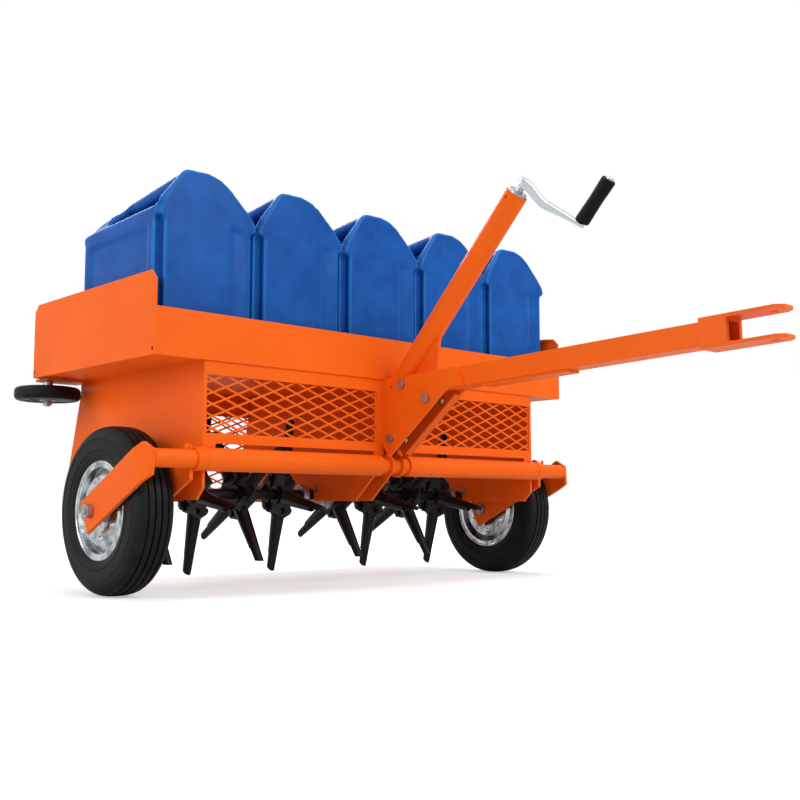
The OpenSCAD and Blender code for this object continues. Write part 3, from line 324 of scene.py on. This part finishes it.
def softened(mesh, points, rounds):
    """Points of a mesh with its edges rounded, by smoothing steps that don't shrink it."""
    inwards, outwards = 0.5, -0.52
    ends = np.empty(2 * len(mesh.edges), dtype=np.int64)
    mesh.edges.foreach_get("vertices", ends)
    ends = ends.reshape(-1, 2)
    share = np.bincount(ends.reshape(-1), minlength=len(points))[:, None]
    for step in [inwards, outwards] * rounds:
        total = np.zeros_like(points)
        np.add.at(total, ends[:, 0], points[ends[:, 1]])
        np.add.at(total, ends[:, 1], points[ends[:, 0]])
        points = points + step * (total / share - points)
    return points


def jug_places(points, low, half):
    """Places of a jug's points: across, back and up."""
    return points[:, 0] - low.x - half, points[:, 1] - low.y, points[:, 2] - low.z


def bend_crown(points, places):
    """Brings the solid's crown to the moulding's height."""
    x, _, z = places
    foot, least, edge = 0.316, 0.326, 0.006
    solid = np.interp(x, CROWN[:, 0], CROWN[:, 1])
    lift = np.interp(x, CROWN[:, 0], CROWN[:, 2]) - solid
    points[:, 2] += lift * ease(foot, np.maximum(solid - edge, least), z)


def drop_shoulder(points, places, deep):
    """Lets the left shoulder fall towards the rear."""
    x, y, z = places
    drop = 0.012
    left = 1 - ease(-0.09, -0.04, x)
    points[:, 2] -= drop * y / deep * ease(0.2, 0.3, z) * left


def flatten_front(points, normals, places):
    """Brings the points that face forwards out to the front's plane."""
    _, y, _ = places
    near, most = 0.008, 0.003
    facing = ease(0.6, 0.9, -normals[:, 1])
    points[:, 1] -= np.where(y < near, np.clip(y, 0, most), 0) * facing


def corner_flute(points, places, half, upright):
    """Sinks a round flute into the left front corner."""
    x, y, _ = places
    sunk, offset, reach = 0.0095, 0.003, 0.015
    back, right = 0.8, 0.6
    across = half + x
    corner = 1 - ease(0.024, 0.034, (across + y) / ROOT_2)
    depth = sunk * hollow((across - y) / ROOT_2 - offset, reach) * corner * upright
    points[:, 0] += depth * right
    points[:, 1] += depth * back


def corner_nose(points, places, half):
    """Fills the right front corner out, which the smoothing rounds too far."""
    x, y, z = places
    proud, reach = 0.0052, 0.016
    across = half - x
    corner = 1 - ease(0.02, 0.034, (across + y) / ROOT_2)
    nose = proud * hollow((across - y) / ROOT_2, reach) * corner * (1 - ease(0.3, 0.33, z))
    points[:, 0] += nose / ROOT_2
    points[:, 1] -= nose / ROOT_2


def front_forms(points, normals, places, upright):
    """Sinks a slanted band beside the right front corner, and raises the seam up the front's middle."""
    x, y, _ = places
    band_depth, slant = 0.0035, 0.9
    seam_proud, seam_x, seam_half = 0.0012, 0.003, 0.007
    front = 1 - ease(0.01, 0.03, y)
    band = ease(0.056, 0.062, x) * (1 - ease(0.062, 0.106, x) * slant) * (1 - ease(0.1, 0.108, x))
    points[:, 1] += band_depth * band * front * upright
    facing = ease(0.7, 0.9, -normals[:, 1])
    points[:, 1] -= seam_proud * hollow(x - seam_x, seam_half) * front * facing


def side_panels(points, normals, places, deep):
    """Sinks a shallow panel into each side."""
    _, y, z = places
    sunk, rim, full = 0.003, 0.03, 0.042
    panel = ease(rim, full, y) * (1 - ease(deep - full, deep - rim, y))
    panel = panel * ease(rim, full, z) * (1 - ease(0.262, 0.274, z))
    facing = ease(0.85, 0.95, np.abs(normals[:, 0]))
    points[:, 0] -= sunk * panel * np.sign(normals[:, 0]) * facing


def jug_moulding(node):
    """Softly rounded copy of a jug with a corner flute, a slanted front band, side panels and a seam."""
    piece = bpy.data.objects.new(node + "_moulding", nodes[node].data.copy())
    scene.collection.objects.link(piece)
    shape = remeshed(piece)
    piece.data = shape
    low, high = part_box(node)
    half = (high.x - low.x) / 2
    deep = high.y - low.y
    normals = rows(shape, "normal")
    points = rows(shape, "co")
    places = jug_places(points, low, half)
    bend_crown(points, places)
    drop_shoulder(points, places, deep)
    flatten_front(points, normals, places)
    points = softened(shape, points, ROUNDS)
    places = jug_places(points, low, half)
    z = places[2]
    upright = ease(0.01, 0.035, z) * (1 - ease(0.285, 0.3, z))
    corner_flute(points, places, half, upright)
    corner_nose(points, places, half)
    front_forms(points, normals, places, upright)
    side_panels(points, normals, places, deep)
    points = np.clip(points, np.array(low), np.array(high))
    shape.vertices.foreach_set("co", points.reshape(-1))
    shape.update()
    shape.materials.clear()
    shape.materials.append(looks["jug_blue"])
    shape.shade_smooth()
    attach(piece, node)
    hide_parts(node)


for number in range(1, JUGS + 1):
    jug_moulding("jug_%d" % number)


# Sheet metal trimmed closer than the solids

TRAY_LOW, TRAY_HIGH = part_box("tray_pan")
# Ends of the guard's windows across: in the solid, trimmed
WINDOW_OUTER = (0.5064, 0.5138)
WINDOW_INNER = (0.05265, 0.0444)
WINDOW_SILL = 0.33


def trimmed(node, shift):
    """Copy of a node with some of its edges moved, in the node's place."""
    piece = bpy.data.objects.new(node + "_trimmed", nodes[node].data.copy())
    scene.collection.objects.link(piece)
    for vertex in piece.data.vertices:
        shift(vertex.co)
    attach(piece, "frame")
    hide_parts(node)


def narrow_return(co):
    """Brings the end panels' upright returns down to their bends, and mitres the hems along the top."""
    free_edge, bend, mitre = 0.625, 0.6365, 0.016
    return_foot, hem_foot = 0.0975, 0.16
    return_thick, hem_reach = 0.0035, 0.02
    if abs(abs(co.x) - free_edge) > 0.001:
        return
    height = co.z - TRAY_LOW.z
    edge = min(co.y - TRAY_LOW.y, TRAY_HIGH.y - co.y)
    if return_foot < height < hem_foot and edge < return_thick:
        co.x = math.copysign(bend, co.x)
    elif height > hem_foot and edge < hem_reach:
        co.y += math.copysign(mitre, TRAY_HIGH.y + TRAY_LOW.y - 2 * co.y)


def wide_window(co):
    """Opens the guard's two windows out to the plates beside them."""
    near = 0.0004
    if abs(abs(co.x) - WINDOW_OUTER[0]) < near:
        co.x = math.copysign(WINDOW_OUTER[1], co.x)
    elif abs(abs(co.x) - WINDOW_INNER[0]) < near and co.z > WINDOW_SILL:
        co.x = math.copysign(WINDOW_INNER[1], co.x)


def cut_back(co):
    """Starts the tongue plates' sloping edges further back along the tongue, the left one most."""
    front, foot = -0.03, 0.302
    left = co.x < 0
    if co.y < front:
        co.y += 0.032 if left else 0.024
        co.z -= 0.001
    elif left and co.z < foot:
        co.y += 0.009


trimmed("tray_pan", narrow_return)
trimmed("front_frame", wide_window)
trimmed("tongue_plate_left", cut_back)
trimmed("tongue_plate_right", cut_back)


# Shapes of the small pieces

def add_piece(name, bm, body, slot, look=None):
    """Turns a bmesh into a piece that rides on a body and wears a slot's look, or the look named."""
    mesh = bpy.data.meshes.new(name)
    bmesh.ops.recalc_face_normals(bm, faces=bm.faces)
    bm.to_mesh(mesh)
    bm.free()
    piece = bpy.data.objects.new(name, mesh)
    scene.collection.objects.link(piece)
    paint(piece, look or slot)
    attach(piece, body)
    return piece


def join_rings(bm, rings, closed):
    """Faces between neighbouring rings of vertices, with the ends joined up or capped."""
    pairs = list(zip(rings, rings[1:]))
    if closed:
        pairs.append((rings[-1], rings[0]))
    for a, b in pairs:
        for i in range(len(a)):
            j = (i + 1) % len(a)
            bm.faces.new((a[i], a[j], b[j], b[i]))
    if not closed:
        bm.faces.new(rings[0])
        bm.faces.new(rings[-1])


def turns(count):
    """Angles of a full turn in equal steps."""
    return [2 * math.pi * i / count for i in range(count)]


def turned(bm, steps, across, up, sides):
    """Round or many-sided solid through steps of (centre, radius), spread along two directions."""
    rings = []
    for centre, r in steps:
        spread = [across * (r * math.cos(a)) + up * (r * math.sin(a)) for a in turns(sides)]
        rings.append([bm.verts.new(centre + s) for s in spread])
    join_rings(bm, rings, False)


def revolved(bm, centre, profile, count):
    """Ring round the X axis through a centre, of a closed profile of (radius, place along X)."""
    rings = []
    for a in turns(count):
        out = Y_AXIS * math.cos(a) + Z_AXIS * math.sin(a)
        rings.append([bm.verts.new(centre + out * r + X_AXIS * along) for r, along in profile])
    join_rings(bm, rings, True)


def circle_yz(x, centre, radius, count):
    """Points of a circle round the X axis."""
    points = []
    for a in turns(count):
        points.append(Vector((x, centre.y + radius * math.cos(a), centre.z + radius * math.sin(a))))
    return points


def line(start, end, step=0.0012):
    """Points on a straight line, about a step apart."""
    start, end = Vector(start), Vector(end)
    count = max(2, int((end - start).length / step))
    return [start.lerp(end, i / count) for i in range(count + 1)]


# Small pieces

def weld(name, body, path, closed=False):
    """Rippled weld bead along a path of points."""
    radius, ripple, sides = 0.0018, 0.14, 7
    bm = bmesh.new()
    rings = []
    count = len(path)
    for i, point in enumerate(path):
        before = path[i - 1] if closed or i else path[0]
        after = path[(i + 1) % count] if closed or i < count - 1 else path[-1]
        ahead = (after - before).normalized()
        if rings:
            side = (side - ahead * side.dot(ahead)).normalized()
        else:
            side = ahead.orthogonal().normalized()
        up = ahead.cross(side)
        r = radius * (1 - ripple + ripple * math.cos(i * math.pi / 2))
        spread = [r * (math.cos(a) * side + math.sin(a) * up) for a in turns(sides)]
        rings.append([bm.verts.new(point + s) for s in spread])
    join_rings(bm, rings, closed)
    add_piece(name, bm, body, "orange_paint")


def collar(name, body, x):
    """Shaft collar with broken edges and a set screw."""
    shaft, outer, half, broken = 0.0129, 0.024, 0.008, 0.0012
    screw, sunk, proud = 0.0045, 0.002, 0.0015
    bm = bmesh.new()
    profile = [
        (shaft, -half), (outer - broken, -half), (outer, broken - half),
        (outer, half - broken), (outer - broken, half), (shaft, half),
    ]
    centre = Vector((x, REEL.y, REEL.z))
    revolved(bm, centre, profile, 40)
    steps = [(centre - Y_AXIS * (outer - sunk), screw), (centre - Y_AXIS * (outer + proud), screw)]
    turned(bm, steps, X_AXIS, Z_AXIS, 6)
    add_piece(name, bm, body, "zinc")


def rolled_lip(name, body, rim):
    """Rolled edges of a rim, one on each flange."""
    wire, inset, sunk = 0.0036, 0.0018, 0.003
    low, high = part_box(rim)
    centre = (low + high) / 2
    ring_r = (high.z - low.z) / 2 - sunk
    profile = [(ring_r + wire * math.cos(a), wire * math.sin(a)) for a in turns(10)]
    bm = bmesh.new()
    for x in (low.x + inset, high.x - inset):
        revolved(bm, Vector((x, centre.y, centre.z)), profile, 96)
    add_piece(name, bm, body, "galvanised")


# Ends of the crank's arm, from its hub, with the channel's first and last section just inside them
ARM_ENDS = (-0.0147, 0.1596)
ARM_FIRST = -0.0145
ARM_LENGTH = 0.174
ARM_STEPS = 48
ARM_HALF = 0.0118


def channel_section(x, top):
    """Outline of the crank's channel at a place along its arm: across the arm, and up from the hub."""
    dip, depth, shallower = 0.0169, 0.0196, 0.0105
    fold, thick, web_thick, fold_steps = 0.005, 0.003, 0.004, 4
    web = top - dip * float(ease(0.004, 0.066, x))
    foot = web - depth + shallower * float(ease(0.02, 0.15, x))
    end = min(x - ARM_ENDS[0], ARM_ENDS[1] - x, ARM_HALF)
    half = math.sqrt(ARM_HALF ** 2 - (ARM_HALF - end) ** 2)
    wall = min(thick, 0.4 * half)
    r = min(fold, 0.45 * half)
    folded = []
    for k in range(fold_steps + 1):
        a = 0.5 * math.pi * k / fold_steps
        folded.append((half - r + r * math.cos(a), web - r + r * math.sin(a)))
    left = [(-across, up) for across, up in folded]
    inside = [
        (half, foot), (half - wall, foot), (half - wall, web - web_thick),
        (wall - half, web - web_thick), (wall - half, foot),
    ]
    return [(-half, foot)] + left + folded[::-1] + inside


def crank_channel():
    """Pressed crank: a channel with a smooth dip that gets shallower, its pin and the grip's spindle."""
    up = -CRANK_AXIS if CRANK_AXIS.z < 0 else CRANK_AXIS
    arm = GRIP - CRANK
    arm = arm - up * arm.dot(up)
    reach = arm.length
    out = arm.normalized()
    side = up.cross(out)
    solid = [v.co - CRANK for v in nodes["crank_arm"].data.vertices]
    hub_end = 0.04
    top = max(c.dot(up) for c in solid if c.dot(out) < hub_end)
    tip = max(c.dot(up) for c in solid)

    def at(x, y, z):
        """Point by its places along the arm, across it and up from the hub."""
        return CRANK + out * x + side * y + up * z

    bm = bmesh.new()
    rings = []
    for i in range(ARM_STEPS + 1):
        x = ARM_FIRST + ARM_LENGTH * i / ARM_STEPS
        rings.append([bm.verts.new(at(x, y, z)) for y, z in channel_section(x, top)])
    join_rings(bm, rings, False)
    pin_z = top - 0.012
    pin = (-0.0122, 0.0122, 0.0035, 16)
    head = (0.0118, 0.0162, 0.0066, 6)
    nut = (-0.0162, -0.0118, 0.0066, 6)
    for start, end, radius, sides in (pin, head, nut):
        turned(bm, [(at(0, start, pin_z), radius), (at(0, end, pin_z), radius)], out, up, sides)
    spindle = (top - 0.0206, tip, 0.0055)
    washer = (tip - 0.0056, tip - 0.0006, 0.009)
    for start, end, radius in (spindle, washer):
        turned(bm, [(at(reach, 0, start), radius), (at(reach, 0, end), radius)], out, side, 32)
    piece = add_piece("crank_channel", bm, "crank", "zinc", "bright_zinc")
    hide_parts("crank_arm")


def bracket_flange():
    """Folded flange inside the right tongue plate's sloping edge."""
    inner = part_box("tongue_plate_right")[0].x
    slope_start = Vector((0, -0.018, 0.4408))
    along = Vector((0, 0.785, -0.6195))
    inward = Vector((0, 0.6195, 0.785))
    root = inner + 0.001
    profile = [
        (root, 0.0005), (0.0105, 0.0005), (0.009, 0.002), (0.009, 0.005),
        (0.0105, 0.0065), (0.016, 0.0065), (0.0195, 0.009), (root, 0.0145),
    ]
    bm = bmesh.new()
    rings = []
    for reach in (0.008, 0.08, 0.15, 0.214):
        foot = slope_start + along * reach
        rings.append([bm.verts.new(foot + inward * n + X_AXIS * x) for x, n in profile])
    join_rings(bm, rings, False)
    add_piece("bracket_flange", bm, "frame", "orange_paint")


def inner_nut(name, y, z):
    """Nut on a bracket bolt, inside the right tongue plate, with the bolt's end."""
    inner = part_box("tongue_plate_right")[0].x
    sunk = broken = 0.001
    nut = (0.0055, 0.0105, 6)
    bolt = (0.0085, 0.0063, 24)
    bm = bmesh.new()
    for end, radius, sides in (nut, bolt):
        steps = [
            (Vector((inner + sunk, y, z)), radius),
            (Vector((inner - end + broken, y, z)), radius),
            (Vector((inner - end, y, z)), radius - broken),
        ]
        turned(bm, steps, Y_AXIS, Z_AXIS, sides)
    add_piece(name, bm, "frame", "zinc", "bright_zinc")


crank_channel()
bracket_flange()
inner_nut("bracket_nut_upper", 0.0437, 0.4301)
inner_nut("bracket_nut_lower", 0.1627, 0.3441)
for outer, word in ((0, "left"), (1, "right")):
    rolled_lip("rim_lip_" + word, "wheel_" + word, "rim_" + word)
    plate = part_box("side_plate_" + word)[outer].x
    sleeve_low, sleeve_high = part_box("pivot_sleeve_" + word)
    sleeve_r = (sleeve_high.z - sleeve_low.z) / 2
    weld("sleeve_weld_" + word, "frame", circle_yz(plate, PIVOT, sleeve_r, 126), closed=True)
    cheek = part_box("tongue_plate_" + word)
    face = cheek[outer].x
    seam = line((face, cheek[1].y, cheek[0].z + 0.02), (face, cheek[1].y, cheek[1].z - 0.012))
    weld("bracket_weld_" + word, "frame", seam)
collar("shaft_collar_left", "reel_left", -0.056)
collar("shaft_collar_right", "reel_right", 0.474)


# Stage, light and camera

WHITE = (1, 1, 1, 1)
FLOOR_HALF = 60.0
FLOOR_COLOUR = (0.72, 0.8, 0.805, 1)
# Distances from the part's middle between which the floor goes over to white, and its glow at them
FLOOR_REACH = (1.0, 2.4)
FLOOR_GLOW = (0.42, 1.0)
WORLD_FILL = 0.42

# Name, place, target, size, power in watts
LAMPS = [
    ("key", (0.6, -3.2, 2.4), (0, 0.4, 0.45), (2.4, 1.8), 85),
    ("left_fill", (-3.6, 0.6, 1.6), (0, 0.4, 0.45), (2.2, 1.8), 50),
    ("top", (0, 0.4, 3.4), (0, 0.4, 0), (2.8, 2.2), 45),
    ("back", (0.8, 3.6, 2.6), (0, 0.4, 0.7), (2.6, 1.4), 60),
]

SENSOR_MM = 36.0
LENS_MM = 47.03
CAMERA_PLACE = (-1.6895, AXLE_Y - 2.0238, 0.1873)
CAMERA_TILT = math.radians(95.8)
CAMERA_HEADING = math.radians(-43.4)
CAMERA_FAR = 200


def floor_material():
    """Pale floor: white to the camera away from the part, with the part's shadow near it."""
    material = bpy.data.materials.new("studio_floor")
    material.use_nodes = True
    tree = material.node_tree
    tree.nodes.clear()
    diffuse = tree.nodes.new("ShaderNodeBsdfDiffuse")
    diffuse.inputs["Color"].default_value = FLOOR_COLOUR
    place = tree.nodes.new("ShaderNodeTexCoord").outputs["Object"]
    reach = tree.nodes.new("ShaderNodeVectorMath")
    reach.operation = "LENGTH"
    tree.links.new(place, reach.inputs[0])
    level = tree.nodes.new("ShaderNodeMapRange")
    level.interpolation_type = "SMOOTHSTEP"
    level.inputs["From Min"].default_value, level.inputs["From Max"].default_value = FLOOR_REACH
    level.inputs["To Min"].default_value, level.inputs["To Max"].default_value = FLOOR_GLOW
    tree.links.new(reach.outputs["Value"], level.inputs["Value"])
    path = tree.nodes.new("ShaderNodeLightPath")
    seen = tree.nodes.new("ShaderNodeMath")
    seen.operation = "MULTIPLY"
    tree.links.new(path.outputs["Is Camera Ray"], seen.inputs[0])
    tree.links.new(level.outputs["Result"], seen.inputs[1])
    glow = tree.nodes.new("ShaderNodeEmission")
    glow.inputs["Color"].default_value = WHITE
    tree.links.new(seen.outputs[0], glow.inputs["Strength"])
    both = tree.nodes.new("ShaderNodeAddShader")
    tree.links.new(diffuse.outputs[0], both.inputs[0])
    tree.links.new(glow.outputs[0], both.inputs[1])
    out = tree.nodes.new("ShaderNodeOutputMaterial")
    tree.links.new(both.outputs[0], out.inputs["Surface"])
    return material


def studio_floor():
    mesh = bpy.data.meshes.new("floor")
    r = FLOOR_HALF
    mesh.from_pydata([(-r, -r, 0), (r, -r, 0), (r, r, 0), (-r, r, 0)], [], [(0, 1, 2, 3)])
    floor = bpy.data.objects.new("floor", mesh)
    floor.location = (0, AXLE_Y, 0)
    floor.data.materials.append(floor_material())
    scene.collection.objects.link(floor)


def studio_world():
    """White to the camera, to mirrors and through glass; a soft grey fill for everything else."""
    world = bpy.data.worlds.new("studio")
    scene.world = world
    world.use_nodes = True
    tree = world.node_tree
    back = tree.nodes["Background"]
    back.inputs["Color"].default_value = WHITE
    path = tree.nodes.new("ShaderNodeLightPath")
    seen = path.outputs["Is Camera Ray"]
    for kind in ("Is Glossy Ray", "Is Transmission Ray"):
        more = tree.nodes.new("ShaderNodeMath")
        more.operation = "MAXIMUM"
        tree.links.new(seen, more.inputs[0])
        tree.links.new(path.outputs[kind], more.inputs[1])
        seen = more.outputs[0]
    level = tree.nodes.new("ShaderNodeMapRange")
    level.inputs["To Min"].default_value = WORLD_FILL
    level.inputs["To Max"].default_value = 1.0
    tree.links.new(seen, level.inputs["Value"])
    tree.links.new(level.outputs["Result"], back.inputs["Strength"])


def softbox(name, place, target, size, power):
    """Rectangular area lamp that looks at a target."""
    light = bpy.data.lights.new(name, "AREA")
    light.shape = "RECTANGLE"
    light.size, light.size_y = size
    light.energy = power
    lamp = bpy.data.objects.new(name, light)
    lamp.location = place
    lamp.rotation_euler = (Vector(target) - Vector(place)).to_track_quat("-Z", "Y").to_euler()
    scene.collection.objects.link(lamp)


def photo_camera():
    """Camera at the photograph's viewing angle."""
    data = bpy.data.cameras.new("camera")
    data.sensor_width = SENSOR_MM
    data.lens = LENS_MM
    data.clip_end = CAMERA_FAR
    camera = bpy.data.objects.new("camera", data)
    camera.location = CAMERA_PLACE
    camera.rotation_euler = Euler((CAMERA_TILT, 0, CAMERA_HEADING))
    scene.collection.objects.link(camera)
    scene.camera = camera


scene.view_settings.view_transform = "Standard"
studio_floor()
studio_world()
for lamp_row in LAMPS:
    softbox(*lamp_row)
photo_camera()
